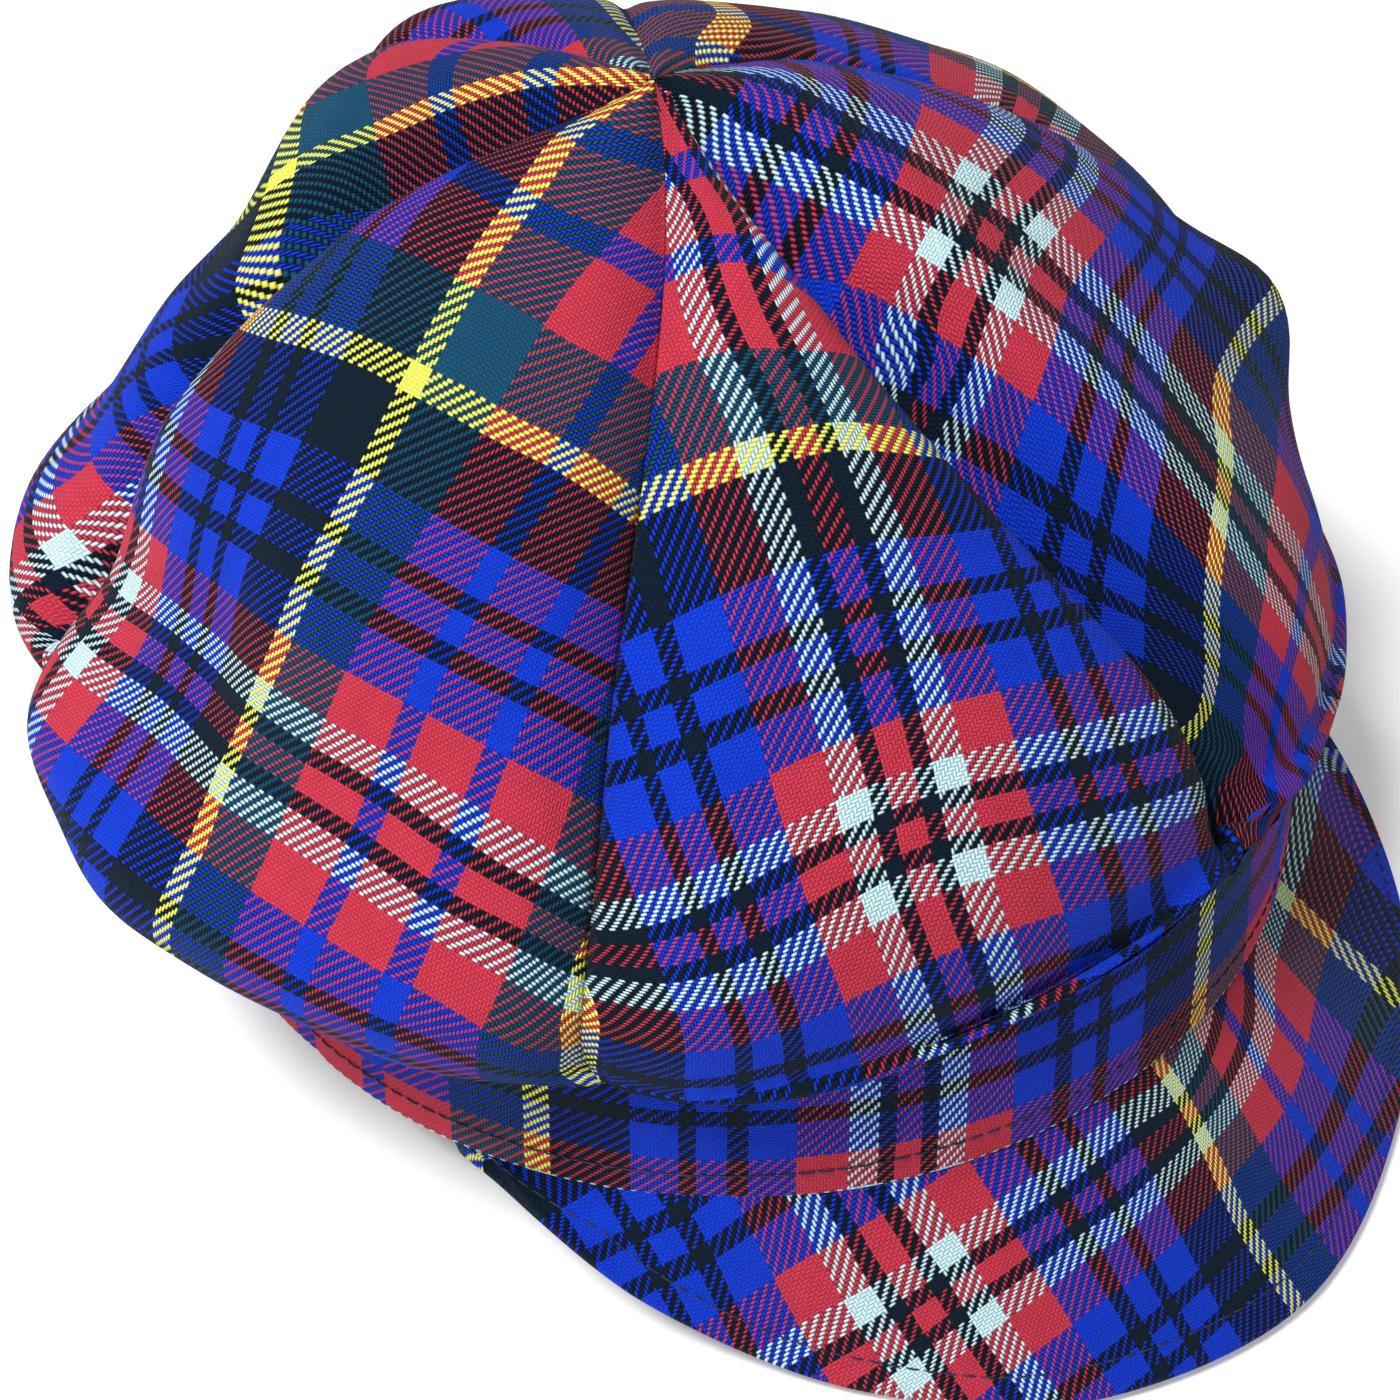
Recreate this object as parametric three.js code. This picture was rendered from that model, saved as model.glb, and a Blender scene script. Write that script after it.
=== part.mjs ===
// A soft tartan baker-boy cap: six crown panels, a band and a peak.
// Millimetres, +Z up. The peak points along -Y and the wearer's left is +X.
// The cap lies as it would on a table: on the back of its band and on the edge of its peak.
import * as THREE from "three";

// Driving sizes
const CLOTH = 2;
const BAND_THICKNESS = 2.6;
const BAND_HEIGHT = 30.5;
const PEAK_THICKNESS = 3.4;
const GAP = 0.3;
const REST_TILT = THREE.MathUtils.degToRad(10.7);

// Half-sizes of the head opening, measured from the cap's own axis to the outside of the band
const OPENING = { left: 102, right: 92, front: 99, back: 92, square: 2.02 };

// Sections of the crown from its apex to the band. Half-sizes run from the section's own centre
// (x, y); square is 2 for an oval and more for a squarer outline.
const SECTIONS = [
  { z: 129.8, left: 0, right: 0, front: 0, back: 0, x: 0, y: 19.3, square: 2 },
  { z: 116.5, left: 48, right: 41.5, front: 32, back: 59.5, x: 0, y: 14.5, square: 2.05 },
  { z: 92.3, left: 89.5, right: 82, front: 61.5, back: 74, x: 0, y: 9.7, square: 2.1 },
  { z: 69, left: 103.5, right: 100.5, front: 87, back: 93.5, x: 0, y: 4.8, square: 2.1 },
  { z: 51.2, left: 121.5, right: 100, front: 93.5, back: 112.5, x: 0, y: 0, square: 2.1 },
  { z: 38.1, left: 117.5, right: 104, front: 97.5, back: 109, x: 0, y: 0, square: 2.1 },
  { z: 34.3, left: 112.5, right: 105, front: 100.5, back: 103, x: 0, y: 0, square: 2.1 },
  { z: BAND_HEIGHT + GAP, left: 101, right: 91, front: 98, back: 91, x: 0, y: 0, square: 2.02 },
];

// Seams as directions in degrees, from the front (0) towards +X (90), at three heights. The cloth dives
// into a seam by its groove, and just past it the next panel swells by its roll.
const SEAMS = {
  back_left: { top: -194, middle: -154.5, bottom: -168.5, groove: 2, roll: 0 },
  left_back: { top: -131, middle: -121, bottom: -115, groove: 3, roll: 0.5 },
  front_left: { top: -39.5, middle: -57.5, bottom: -57, groove: 3.5, roll: 0.5 },
  front_right: { top: -13.5, middle: 7.5, bottom: 4.5, groove: 5, roll: 2 },
  right_back: { top: 123, middle: 68, bottom: 74, groove: 2, roll: 0 },
  back_right: { top: 142.5, middle: 142.5, bottom: 134.5, groove: 2, roll: 0 },
};

// The crown's panels in order round the cap, with how far each is puffed out between its seams
const PANELS = [
  { name: "crown_panel_back_left", from: "back_left", to: "left_back", puff: 5 },
  { name: "crown_panel_left", from: "left_back", to: "front_left", puff: 2 },
  { name: "crown_panel_front", from: "front_left", to: "front_right", puff: 2 },
  { name: "crown_panel_front_right", from: "front_right", to: "right_back", puff: 2 },
  { name: "crown_panel_back_right", from: "right_back", to: "back_right", puff: 1.5 },
  { name: "crown_panel_back", from: "back_right", to: "back_left", puff: 0 },
];

// The crown's soft swells and dents: where each is, as a direction and a share of the way down, how wide
// it is in degrees and how tall in hundredths of the way down, and its height
const FOLDS = [
  { direction: -100, at: 0.6, wide: 14, tall: 9, height: 2.2 },
  { direction: -88, at: 0.78, wide: 7, tall: 14, height: -3 },
  { direction: 100, at: 0.35, wide: 14, tall: 8, height: 3.3 },
  { direction: 120, at: 0.3, wide: 14, tall: 8, height: 2.1 },
  { direction: -140, at: 0.25, wide: 14, tall: 8, height: -3.5 },
  { direction: -20, at: 0.8, wide: 14, tall: 8, height: -5 },
  { direction: 180, at: 0.2, wide: 14, tall: 8, height: 2.3 },
];

// The peak's edge, seen from its underside as the cap lies. Each row joins a direction on the band
// to a point of the edge.
const PEAK_EDGE = [
  { direction: -74, x: -99.5, y: -30, z: 22.5 },
  { direction: -66, x: -97.5, y: -45, z: 19 },
  { direction: -57, x: -91, y: -62, z: 11 },
  { direction: -48, x: -80, y: -81, z: 3 },
  { direction: -39, x: -69, y: -98, z: 0.2 },
  { direction: -26, x: -49, y: -120, z: 0 },
  { direction: -2, x: -5, y: -137, z: 0 },
  { direction: 23, x: 37, y: -127.5, z: 0 },
  { direction: 46, x: 69, y: -107.5, z: 0 },
  { direction: 65, x: 92, y: -79, z: 0 },
  { direction: 75, x: 100, y: -56, z: 3 },
  { direction: 80, x: 99, y: -38, z: 11 },
  { direction: 84, x: 95.5, y: -22, z: 17 },
];
const PEAK_INNER_DROP = 3.6;

// A seam turns faster near the apex, the panels' puff is broad, and it dies out short of the band
const SEAM_BEND = 0.8;
const PUFF_BREADTH = 0.6;
const PUFF_END = 0.92;

// A groove's width and its roll's place beside it, in millimetres, and the most of a panel's width they take
const GROOVE_WIDTH = 11;
const ROLL_PLACE = 1.5;
const MOST_GROOVE = 0.28;

// Near the apex a seam's gap takes at most this share of the panel's width
const MOST_INSET = 0.2;

// Near the apex, over this share of the way, the cloth's thickness turns to straight down
const TOP_SHARE = 0.12;

// How finely the faceted surfaces are cut
const PANEL_COLUMNS = 15;
const PANEL_ROWS = 22;
const BAND_SIDES = 72;
const PEAK_COLUMNS = 36;
const PEAK_ROWS = 6;
const APEX_START = 0.006;

// 0 spaces a panel's columns evenly, 1 crowds them towards its seams
const SEAM_BIAS = 0.7;

// 0 spaces a panel's rows evenly down the cloth, 1 gives each section of the crown as many rows
const LIP_BIAS = 0.4;

// The small step over which a surface's slope is measured
const STEP = 0.004;

const TARTAN = { color: 0x35408f, roughness: 0.95, metalness: 0 };
const UP = new THREE.Vector3(0, 0, 1);
const SIDEWAYS = new THREE.Vector3(1, 0, 0);

// Distance from the centre to a rounded outline with four half-sizes
function outlineRadius(outline, direction) {
  const sideways = Math.sin(direction);
  const forwards = Math.cos(direction);
  const across = sideways > 0 ? outline.right : outline.left;
  const along = forwards > 0 ? outline.front : outline.back;
  if (across === 0) return 0;
  const power = outline.square;
  const sum = Math.abs(sideways / across) ** power + Math.abs(forwards / along) ** power;
  return sum ** (-1 / power);
}

// A point of a rounded outline, grown outwards, at height z about a centre
function outlinePoint(outline, direction, grow, z, x = 0, y = 0) {
  const radius = outlineRadius(outline, direction) + grow;
  return new THREE.Vector3(x + radius * Math.sin(direction), y - radius * Math.cos(direction), z);
}

// A line of the crown's smooth surface from the apex to the band, without the panels' puff
function meridian(direction) {
  return new THREE.CatmullRomCurve3(
    SECTIONS.map((row) => outlinePoint(row, direction, 0, row.z, row.x, row.y)),
  );
}

function crownSurface(direction, at) {
  return meridian(direction).getPoint(at);
}

function crownNormal(direction, at) {
  const around = crownSurface(direction + STEP, at).sub(crownSurface(direction - STEP, at));
  const lower = crownSurface(direction, Math.min(at + STEP, 1));
  const down = lower.sub(crownSurface(direction, Math.max(at - STEP, 0)));
  return down.cross(around).normalize();
}

// A seam leaves the apex in one direction and reaches the band in another
function seamDirection(seam, share) {
  const top = seam.top * (1 - share) * (1 - 2 * share);
  const middle = seam.middle * 4 * share * (1 - share);
  const bottom = seam.bottom * share * (2 * share - 1);
  return THREE.MathUtils.degToRad(top + middle + bottom);
}

// Half the gap at a seam, as an angle
function seamInset(direction, at, width) {
  const arc = crownSurface(direction + STEP, at).distanceTo(crownSurface(direction, at));
  return Math.min(((GAP / 2) * STEP) / arc, width * MOST_INSET);
}

function foldHeight(direction, at) {
  let height = 0;
  for (const fold of FOLDS) {
    const turn = THREE.MathUtils.radToDeg(direction) - fold.direction;
    const sideways = (turn - 360 * Math.round(turn / 360)) / fold.wide;
    const upwards = (100 * (at - fold.at)) / fold.tall;
    height += fold.height * Math.exp(-(sideways ** 2) - upwards ** 2);
  }
  return height;
}

// How far a panel stands above the crown's smooth surface. The seams are at 0 and at length, in
// millimetres along the cloth, and place is between them.
function puffHeight(panel, place, length) {
  const from = SEAMS[panel.from];
  const to = SEAMS[panel.to];
  const wide = Math.min(GROOVE_WIDTH, MOST_GROOVE * length);
  const bell = (distance) => Math.exp(-((distance / wide) ** 2));
  const puff = panel.puff * (1 - (2 * place / length - 1) ** 2);
  const grooves = from.groove * bell(place) + to.groove * bell(length - place);
  return puff - grooves + from.roll * bell(place - ROLL_PLACE * wide);
}

// The outer and inner points of one panel's cloth, across from 0 to 1 between its seams
function panelPoints(panel, across, at) {
  const share = at ** SEAM_BEND;
  let from = seamDirection(SEAMS[panel.from], share);
  let to = seamDirection(SEAMS[panel.to], share);
  if (to < from) to += 2 * Math.PI;
  const width = to - from;
  from += seamInset(from, at, width);
  to -= seamInset(to, at, width);
  const direction = THREE.MathUtils.lerp(from, to, across);
  const normal = crownNormal(direction, at);
  const arc = crownSurface(direction + STEP, at).distanceTo(crownSurface(direction - STEP, at)) / (2 * STEP);
  const fade = Math.sin(Math.PI * Math.min(share / PUFF_END, 1)) ** PUFF_BREADTH;
  const length = arc * width;
  const height = puffHeight(panel, across * length, length) * fade + foldHeight(direction, at);
  const outer = crownSurface(direction, at).addScaledVector(normal, height);
  const inwards = normal.clone().lerp(UP, Math.max(0, 1 - at / TOP_SHARE)).normalize();
  const inner = outer.clone().addScaledVector(inwards, -CLOTH);
  return [outer, inner];
}

// A closed sheet between two grids of points, each grid[row][column]
function sheetGeometry(outer, inner, loop = false) {
  const rows = outer.length;
  const columns = outer[0].length;
  const points = [...outer.flat(), ...inner.flat()];
  const faces = [];
  const index = (side, row, column) => (side * rows + row) * columns + (column % columns);
  const quad = (a, b, c, d) => faces.push(a, b, c, a, c, d);
  const lastColumn = loop ? columns : columns - 1;
  for (let row = 0; row < rows - 1; row++) {
    for (let column = 0; column < lastColumn; column++) {
      quad(index(0, row, column), index(0, row + 1, column), index(0, row + 1, column + 1), index(0, row, column + 1));
      quad(index(1, row, column), index(1, row, column + 1), index(1, row + 1, column + 1), index(1, row + 1, column));
    }
  }
  for (let column = 0; column < lastColumn; column++) {
    const end = rows - 1;
    quad(index(0, 0, column), index(0, 0, column + 1), index(1, 0, column + 1), index(1, 0, column));
    quad(index(0, end, column + 1), index(0, end, column), index(1, end, column), index(1, end, column + 1));
  }
  for (let row = 0; row < rows - 1 && !loop; row++) {
    const end = columns - 1;
    quad(index(0, row + 1, 0), index(0, row, 0), index(1, row, 0), index(1, row + 1, 0));
    quad(index(0, row + 1, end), index(1, row + 1, end), index(1, row, end), index(0, row, end));
  }
  const geometry = new THREE.BufferGeometry();
  geometry.setAttribute("position", new THREE.Float32BufferAttribute(points.flatMap((p) => p.toArray()), 3));
  geometry.setIndex(faces);
  return geometry;
}

function makeMesh(name, geometry) {
  geometry.computeVertexNormals();
  const mesh = new THREE.Mesh(geometry, new THREE.MeshStandardMaterial({ ...TARTAN, side: THREE.FrontSide }));
  mesh.name = name;
  return mesh;
}

function crownPanel(panel) {
  const outer = [];
  const inner = [];
  const front = meridian(0);
  for (let row = 0; row <= PANEL_ROWS; row++) {
    const even = row / PANEL_ROWS;
    const at = Math.max(APEX_START, THREE.MathUtils.lerp(front.getUtoTmapping(even), even, LIP_BIAS));
    const pairs = Array.from({ length: PANEL_COLUMNS + 1 }, (_, k) => {
      const crowded = (1 - Math.cos((Math.PI * k) / PANEL_COLUMNS)) / 2;
      return panelPoints(panel, THREE.MathUtils.lerp(k / PANEL_COLUMNS, crowded, SEAM_BIAS), at);
    });
    outer.push(pairs.map((pair) => pair[0]));
    inner.push(pairs.map((pair) => pair[1]));
  }
  return makeMesh(panel.name, sheetGeometry(outer, inner));
}

// The band is an upright ring of doubled cloth round the head opening
function band() {
  const ring = (grow, z) =>
    Array.from({ length: BAND_SIDES }, (_, k) => outlinePoint(OPENING, (2 * Math.PI * k) / BAND_SIDES, grow, z));
  const outer = [ring(0, BAND_HEIGHT), ring(0, 0)];
  const inner = [ring(-BAND_THICKNESS, BAND_HEIGHT), ring(-BAND_THICKNESS, 0)];
  return makeMesh("band", sheetGeometry(outer, inner, true));
}

// From the cap's own axis to the table: the front of the cap is tipped up about the back of its rim
function tip(point) {
  const rim = new THREE.Vector3(0, OPENING.back, 0);
  return point.sub(rim).applyAxisAngle(SIDEWAYS, -REST_TILT).add(rim);
}

// The peak's underside runs in straight lines from the band, where out is 0, to the edge, where it is 1.
// place runs from 0 to 1 along the edge.
function peakUnderside(place, out) {
  const scaled = place * (PEAK_EDGE.length - 1);
  const row = Math.min(Math.floor(scaled), PEAK_EDGE.length - 2);
  const degrees = THREE.MathUtils.lerp(PEAK_EDGE[row].direction, PEAK_EDGE[row + 1].direction, scaled - row);
  const inner = tip(outlinePoint(OPENING, THREE.MathUtils.degToRad(degrees), GAP, -PEAK_INNER_DROP));
  const edge = new THREE.CatmullRomCurve3(PEAK_EDGE.map((p) => new THREE.Vector3(p.x, p.y, p.z)));
  return inner.lerp(edge.getPoint(place), out);
}

// The peak's cloth is thick upwards where it meets the band and square to its surface at the edge
function peakPoints(place, out) {
  const bandUp = UP.clone().applyAxisAngle(SIDEWAYS, -REST_TILT);
  const after = peakUnderside(Math.min(place + STEP, 1), out);
  const sideways = after.sub(peakUnderside(Math.max(place - STEP, 0), out));
  const outwards = peakUnderside(place, 1).sub(peakUnderside(place, 0));
  const normal = outwards.cross(sideways).normalize();
  const direction = bandUp.lerp(normal, out).normalize();
  const lower = peakUnderside(place, out);
  const upper = lower.clone().addScaledVector(direction, PEAK_THICKNESS / direction.dot(normal));
  return [upper, lower];
}

function peak() {
  const top = [];
  const underside = [];
  for (let row = 0; row <= PEAK_ROWS; row++) {
    const places = Array.from({ length: PEAK_COLUMNS + 1 }, (_, k) => k / PEAK_COLUMNS);
    const pairs = places.map((place) => peakPoints(place, row / PEAK_ROWS));
    top.push(pairs.map((pair) => pair[0]));
    underside.push(pairs.map((pair) => pair[1]));
  }
  return makeMesh("peak", sheetGeometry(top, underside));
}

const cap = new THREE.Group();
const upright = new THREE.Group();
upright.add(...PANELS.map(crownPanel), band());
upright.rotation.x = -REST_TILT;
upright.position.copy(tip(new THREE.Vector3()));
cap.add(upright, peak());

// The origin is the middle of the cap's box on the table
const box = new THREE.Box3().setFromObject(cap, true);
const middle = box.getCenter(new THREE.Vector3()).setZ(box.min.z);
cap.position.sub(middle);

export default cap;
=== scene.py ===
import bpy
import numpy as np
from mathutils import Matrix, Vector
from mathutils.bvhtree import BVHTree


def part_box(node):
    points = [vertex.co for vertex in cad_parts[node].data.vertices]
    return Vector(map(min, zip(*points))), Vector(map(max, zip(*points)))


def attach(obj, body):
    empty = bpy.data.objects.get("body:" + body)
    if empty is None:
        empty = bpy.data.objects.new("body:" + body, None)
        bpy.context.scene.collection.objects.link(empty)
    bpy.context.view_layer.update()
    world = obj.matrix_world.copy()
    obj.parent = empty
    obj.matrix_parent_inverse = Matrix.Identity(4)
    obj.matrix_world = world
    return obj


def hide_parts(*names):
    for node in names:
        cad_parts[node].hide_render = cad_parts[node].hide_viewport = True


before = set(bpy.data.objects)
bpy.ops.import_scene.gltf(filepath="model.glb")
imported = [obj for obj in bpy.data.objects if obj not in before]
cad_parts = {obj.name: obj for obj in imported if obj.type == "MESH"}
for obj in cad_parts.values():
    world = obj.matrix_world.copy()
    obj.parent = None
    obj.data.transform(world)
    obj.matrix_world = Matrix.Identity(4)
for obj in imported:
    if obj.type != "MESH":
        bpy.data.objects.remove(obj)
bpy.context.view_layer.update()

# Lengths are in millimetres about the cap's own axis unless a comment says otherwise. Directions are
# degrees round that axis, 0 at the front and positive towards the cap's right.

# Not all of these numbers were chosen by hand. The opening, the tilt, the camera and most of the sections,
# seams' directions, puffs and folds' heights are the rounded results of two least-squares fits, in which
# a program fitted models of the cap to points read by eye from the photograph. Comments below say which.

# Driving sizes, as in the CAD part
MM = 0.001
CLOTH = 2
BAND_THICKNESS = 2.6
BAND_HEIGHT = 30.5
PEAK_THICKNESS = 3.4
PEAK_INNER_DROP = 3.6
GAP = 0.3
REST_TILT = np.radians(10.7)

# Half-sizes of the head opening: left, right, front, back, and how square it is. They come from the
# first fit, scaled to a usual head.
OPENING = (102, 92, 99, 92, 2.02)

# Sections of the crown from its apex to the band:
# z, left, right, front, back, centre x, centre y, how square it is.
# All but the last row come from the second fit. Where it gave 94.8 and 102.4 on the right and 96.1 in
# front, in the fifth and sixth rows, they were changed.
SECTIONS = [
    (129.8, 0, 0, 0, 0, 0, 19.3, 2),
    (116.5, 48, 41.5, 32, 59.5, 0, 14.5, 2.05),
    (92.3, 89.5, 82, 61.5, 74, 0, 9.7, 2.1),
    (69, 103.5, 100.5, 87, 93.5, 0, 4.8, 2.1),
    (51.2, 121.5, 98, 93.5, 112.5, 0, 0, 2.1),
    (38.1, 117.5, 103, 97, 109, 0, 0, 2.1),
    (34.3, 112.5, 105, 100.5, 103, 0, 0, 2.1),
    (BAND_HEIGHT + GAP, 101, 91, 98, 91, 0, 0, 2.02),
]

# Seams: their directions at the top, middle and bottom, the depth of the groove that the cloth dives
# into, the height of the next panel's roll beside it and the depth of the crease at the stitching.
# The directions come from the second fit, apart from those of right_back, and four more were then
# changed a little: left_back's three and front_left's last. The depths and heights are given.
SEAMS = {
    "back_left": (-194, -154.5, -168.5, 2, 0, 1),
    "left_back": (-134, -123.5, -116, 5, 1, 6),
    "front_left": (-39.5, -57.5, -56, 4, 0.5, 1.5),
    "front_right": (-13.5, 7.5, 4.5, 11, 3, 11),
    "right_back": (123, 68, 74, 2, 0, 1.5),
    "back_right": (142.5, 142.5, 134.5, 2, 0, 1),
}

# The crown's panels: name, the seams on either side, puff. The puffs come from the second fit, apart
# from that of the back.
PANELS = [
    ("back_left", "back_left", "left_back", 5),
    ("left", "left_back", "front_left", 2),
    ("front", "front_left", "front_right", 2),
    ("front_right", "front_right", "right_back", 2),
    ("back_right", "right_back", "back_right", 1.5),
    ("back", "back_right", "back_left", 0),
]

# Soft swells and dents: direction, share of the way down, width in degrees, height in hundredths of
# the way down, and how far they stand out. The heights of the first fold and of those at 100, 120, -140,
# -20 and 180 degrees come from the second fit, and the rest is given.
FOLDS = [
    (-100, 0.6, 14, 9, 2.2),
    (-96, 0.36, 5, 9, -2.5),
    (-97.5, 0.62, 6, 5, 1.5),
    (100, 0.35, 14, 8, 3.3),
    (120, 0.3, 14, 8, 2.1),
    (-140, 0.25, 14, 8, -3.5),
    (-20, 0.8, 14, 8, -5),
    (180, 0.2, 14, 8, 2.3),
    (-44, 0.9, 14, 9, 2.5),
    (60, 0.4, 8, 5, 4.5),
    (46, 0.46, 8, 8, -3.5),
]

# How the way down is spread along a seam, how broad a puff is, and the share of the way down where
# puffs and grooves end
SEAM_BEND = 0.8
PUFF_BREADTH = 0.6
PUFF_END = 0.92

# A groove: its width, its share of that width on the panel before the seam, the roll's place in
# widths from the seam, and the largest share of a panel's width that a groove takes
GROOVE_WIDTH = 11
FAR_GROOVE = 0.65
ROLL_PLACE = 1.5
MOST_GROOVE = 0.28

# A crease: its width at the stitching, its further width for each millimetre of depth, the part of
# the way down, as one over this number, in which it sets in, and the width of panel that it needs
CREASE_WIDTH = 1.5
CREASE_SPREAD = 0.42
CREASE_ONSET = 8
CREASE_ROOM = 20

# Slight unevenness of the cloth: height, shortest and longest wave, number of waves, and the product
# of the distances to both seams below which it dies out. The band has less of it.
RIPPLE_HEIGHT = 0.3
RIPPLE_LENGTHS = (17, 60)
RIPPLE_COUNT = 14
RIPPLE_EDGE = 100
CROWN_SEED = 7
BAND_SEED = 3
BAND_RIPPLE = 0.6

# Swells and unevenness fade out towards the crown's lower edge: the share of the way down where
# they end, and the share over which they fade
LIP_END = 0.93
LIP_FADE = 0.1

# How far the band's hem stands out and down at the front, over the peak's seam
BAND_FLARE = 2.6
BAND_DROP = 0.6

# The peak's edge on the underside, as the cap lies: direction on the band, x, y, z. Where the edge shows,
# x and y are close to those of points read from the photograph, which a program carried through the
# fitted camera down to height z. Heights, directions and the last three rows, which are hidden, are given.
PEAK_EDGE = [
    (-74, -99.5, -30, 22.5),
    (-66, -97.5, -45, 19),
    (-57, -91, -62, 11),
    (-48, -80, -81, 3),
    (-39, -69, -98, 0.2),
    (-26, -49, -120, 0),
    (-2, -5, -137, 0),
    (23, 37, -127.5, 0),
    (46, 69, -107.5, 0),
    (65, 92, -79, 0),
    (75, 100, -56, 3),
    (80, 99, -38, 11),
    (84, 95.5, -22, 17),
]

# The peak's rough length from end to end, which tells how near a point is to a rounded end
PEAK_ROUND = 300

# Topstitching: its height on the band, its distance from the peak's edge, and each stitch's size.
# An arch is how far a stitch stands out along its length.
BAND_STITCH_HEIGHT = 6.3
BAND_STITCH_LIFT = 0.15
PEAK_STITCH_INSET = 6.5
PEAK_STITCH_ENDS = (0.01, 0.99)
LEAST_INSET = 0.5
STITCH_LENGTH = 2.7
STITCH_SPACING = 3.1
STITCH_RADIUS = 0.17
STITCH_ARCH = (-0.2, 0.03, 0.08, 0.03, -0.2)
STITCH_SIDES = 6

# How finely the cloth is cut, and how strongly the peak's rows crowd towards its edge
PANEL_COLUMNS = 84
PANEL_ROWS = 128
BAND_COLUMNS = 300
BAND_ROWS = 16
HEM_ROWS = 9
PEAK_COLUMNS = 170
PEAK_ROWS = 44
PEAK_CROWDING = 1.8
RING_POINTS = 721
BAND_STITCH_POINTS = 1200
PEAK_STITCH_POINTS = 900
APEX_START = 0.002
STEP = 0.004

# The camera's place as the cap lies, its axes and its lens, from the first fit. The photograph's side is
# in pixels.
EYE = (-264.8, -165.1, 418.3)
CAMERA_RIGHT = (0.6837, -0.7171, 0.1355)
CAMERA_UP = (0.5153, 0.6059, 0.6061)
LENS = 71.42
SENSOR = 36
PHOTO = 1400

# Lights: place and size in metres, power in watts, and the place in metres that they point at
LIGHTS = {
    "key": ((-0.75, 0.35, 1.55), 0.45, 33),
    "fill": ((-0.8, -1.1, 1.0), 1.0, 3),
}
LIGHT_TARGET = (0, 0, 0.05)
WORLD_LIGHT = 0.22

# The table top's side in metres, and its own glow, which keeps it as pale as the photograph's ground
TABLE_SIDE = 8
TABLE_GLOW = 0.22

# The tartan's half repeat from one pivot to the other: colour and number of threads
SETT = [
    ("red", 3), ("black", 6), ("white", 8), ("red", 16), ("blue", 14),
    ("black", 6), ("blue", 8), ("black", 6), ("blue", 14), ("black", 24),
    ("yellow", 8), ("green", 24), ("red", 24), ("blue", 8), ("red", 12),
]
DYES = {
    "red": (208, 58, 80),
    "black": (8, 28, 46),
    "white": (212, 248, 255),
    "blue": (12, 60, 214),
    "yellow": (250, 255, 104),
    "green": (22, 78, 110),
}
THREAD = 0.57
TWILL_REPEAT = 4.0

# How far yarns wander, in threads, and the scales of their wandering, fuzz and mottle
WANDER = 0.7
WANDER_SCALE = 160.0
FUZZ_SCALE = 2600.0
MOTTLE_SCALE = 320.0
YARN_DETAIL = 3.0

# How much red, green and blue make a yarn stand out, and how soon a brighter yarn looks thinner and
# unlike yarns look apart
STANDOUT = (0.6, 0.35, 0.05)
THINNING = 3.0
UNLIKENESS = 4.0

# Painted shade at a yarn's edges, where it dips between the yarns beside it: how dark a yarn is there
# always, and with a yarn unlike it or darker than it below. These two fall with how much the yarn stands
# out: slope, start.
EDGE_SHADE = 0.45
UNLIKE_SHADE = (-0.45, 0.65)
THIN_SHADE = (-1.05, 1.1)
LEAST_LIT = 0.05
UNDER_SHOWS = 0.5

# How much mottle and fuzz change a yarn's colour: slope, start
MOTTLE_SHADE = (0.3, 0.87)
FUZZ_SHADE = (0.24, 0.9)

# The relief of the weave: the roundness of a float's ends, the fuzz's share, strength and height
FLOAT_ENDS = 0.5
FUZZ_RELIEF = 0.5
WEAVE_RELIEF = 0.7
WEAVE_HEIGHT = 0.3
WOOL = {
    "Roughness": 0.88,
    "Specular IOR Level": 0.12,
    "Sheen Weight": 0.03,
    "Sheen Roughness": 0.4,
}

# Plain materials: how dark their mottle is, its detail and the height of its relief
PLAIN_DARK = 0.9
PLAIN_DETAIL = 4.0
PLAIN_HEIGHT = 0.1

# Where threads of the cloth lie in the photograph, in its pixels: x, y, thread across, thread down.
# None where only the other one can be read.
FRONT_MARKS = [
    (755, 455, -13, -109), (850, 435, 13, -109), (857, 810, -13, -13), (950, 775, 13, -13),
    (880, 900, -13, 13), (970, 865, 13, 13), (645, 500, -45, -109), (960, 435, 45, -109),
    (600, 920, None, -13), (1192, 696, 89, -13), (600, 985, -101, 13), (1205, 785, 92, 13),
    (661, 110, None, -213), (740, 400, -13, None), (800, 600, -13, None), (905, 970, -13, None),
    (935, 1050, -13, None), (720, 159, 13, None), (741, 191, 13, None), (754, 217, 13, None),
    (762, 243, 13, None), (775, 269, 13, None), (783, 295, 13, None), (797, 321, 13, None),
    (810, 348, 13, None), (823, 374, 13, None), (832, 304, 33, None), (858, 352, 33, None),
    (673, 201, -13, None), (688, 253, -13, None), (692, 282, -13, None), (718, 361, -13, None),
    (700, 163, None, -197), (705, 252, None, -165), (775, 258, None, -165), (825, 280, None, -165),
    (760, 348, None, -137), (690, 362, None, -137), (838, 352, None, -137),
    (598, 1012, -105, None), (598, 1045, -105, None), (600, 1080, -105, None),
    (650, 1050, None, 33), (890, 540, 13, None), (990, 930, 13, None), (1015, 1010, 13, None),
]
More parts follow.
